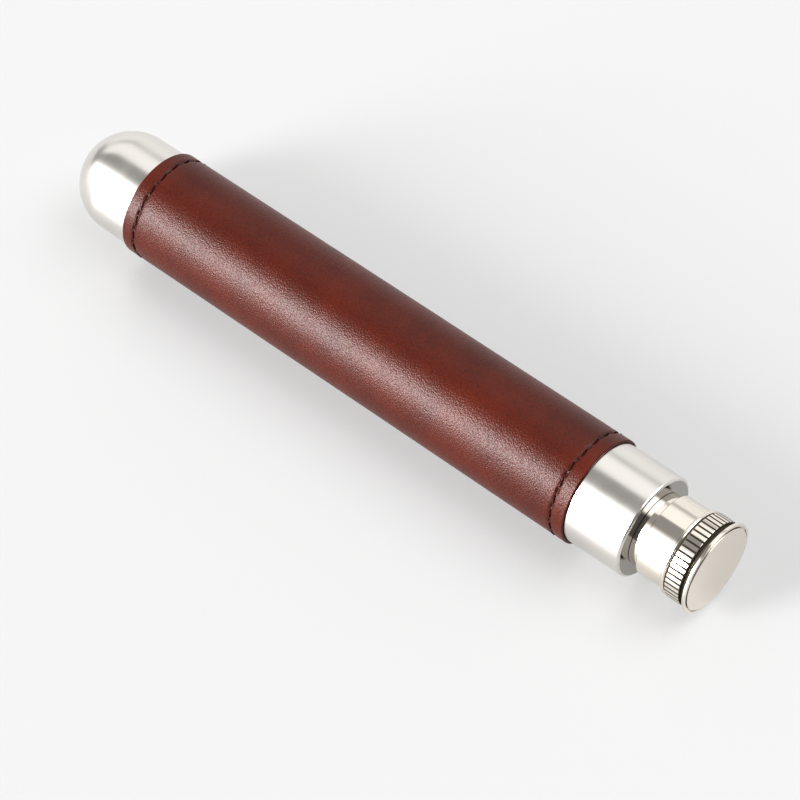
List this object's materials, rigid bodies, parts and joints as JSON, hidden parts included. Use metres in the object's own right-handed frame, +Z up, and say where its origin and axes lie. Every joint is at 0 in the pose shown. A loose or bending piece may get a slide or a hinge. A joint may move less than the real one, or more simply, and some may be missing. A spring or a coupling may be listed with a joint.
{
  "type": "hip flask",
  "caption": "Slim cigar-tube hip flask: domed satin steel tube in a sewn leather wrap, with a knurled screw cap that unscrews and lifts off the threaded neck",
  "frame": {"origin": "bottom centre of the flask lying on its side, on the plane that the leather wrap rests on", "axes": "+X along the flask from the domed base to the top of the cap, +Z up, +Y completes a right-handed frame"},
  "size_m": [0.1806, 0.0258, 0.0258],
  "materials": {
    "satin_steel": "fine satin turned stainless steel",
    "polished_nickel": "polished nickel plate, slightly warm",
    "oxblood_leather": "smooth oxblood leather with a fine pebble grain",
    "pale_lining": "thin pale felt",
    "dark_thread": "dark brown waxed polyester thread",
    "white_liner": "moulded white polypropylene",
    "silicone": "soft translucent silicone"
  },
  "bodies": {
    "flask": {"base_dome": "satin_steel", "body_tube": "satin_steel", "shoulder_cap": "satin_steel", "neck_spout": "polished_nickel", "neck_collar": "polished_nickel", "wrap_leather": "oxblood_leather", "wrap_lining": "pale_lining", "hem_thread_dome_end": "dark_thread", "hem_thread_neck_end": "dark_thread", "seam_thread": "dark_thread"},
    "seal": {"cap_seal_disc": "silicone"},
    "cap": {"cap_barrel": "polished_nickel", "cap_head": "polished_nickel", "cap_top_disc": "satin_steel", "cap_thread_liner": "white_liner"}
  },
  "joints": [
    {"name": "cap_rise", "type": "slide", "parent": "flask", "child": "seal", "axis": [1, 0, 0], "range_m": [0, 0.01]},
    {"name": "cap_turn", "type": "hinge", "parent": "seal", "child": "cap", "pos_m": [0, 0, 0.01289], "axis": [1, 0, 0], "range_deg": [0, 1800]}
  ],
  "couplings": [
    {"joint": "cap_rise", "follows": "cap_turn", "m_per_rad": 0.00031831}
  ]
}
